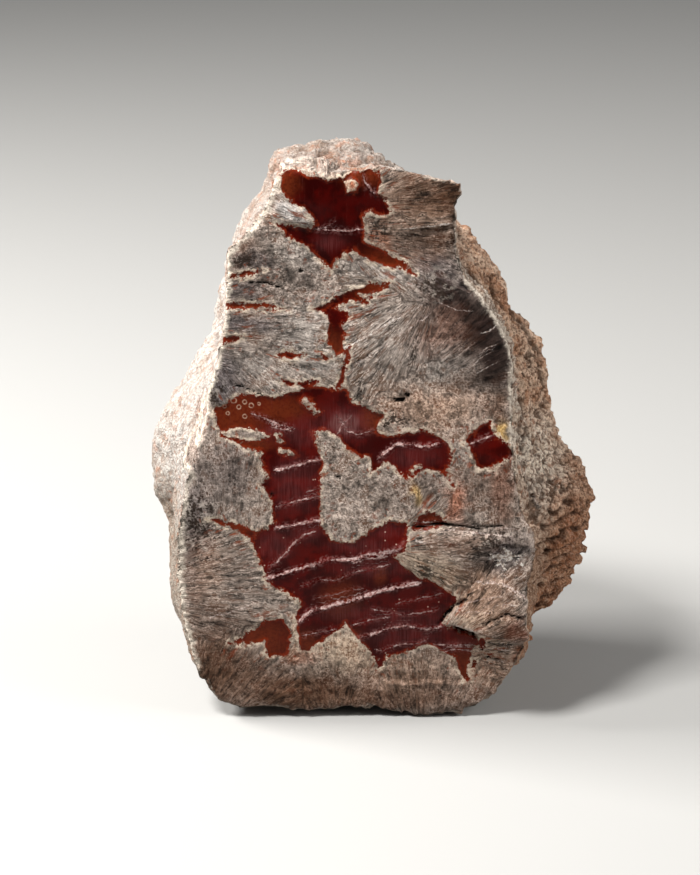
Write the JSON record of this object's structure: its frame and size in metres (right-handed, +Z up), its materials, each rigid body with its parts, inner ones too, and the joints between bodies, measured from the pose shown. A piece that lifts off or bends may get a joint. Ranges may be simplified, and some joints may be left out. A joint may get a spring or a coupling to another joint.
{
  "type": "broken agate nodule",
  "caption": "Palm-sized half of a rough agate nodule that stands upright and shows a broken face with glossy red agate in grey-tan stone.",
  "frame": {"origin": "middle of the stone's width and depth, on the surface it rests on", "axes": "+Z up along the stone's height, the broken face looks along -Y and leans back a little, +X to the right seen from the front"},
  "size_m": [0.0714, 0.0458, 0.0892],
  "materials": {
    "stone": "rough broken stone with glossy dark red agate patches"
  },
  "bodies": {
    "root": {"stone": "stone"}
  },
  "joints": []
}
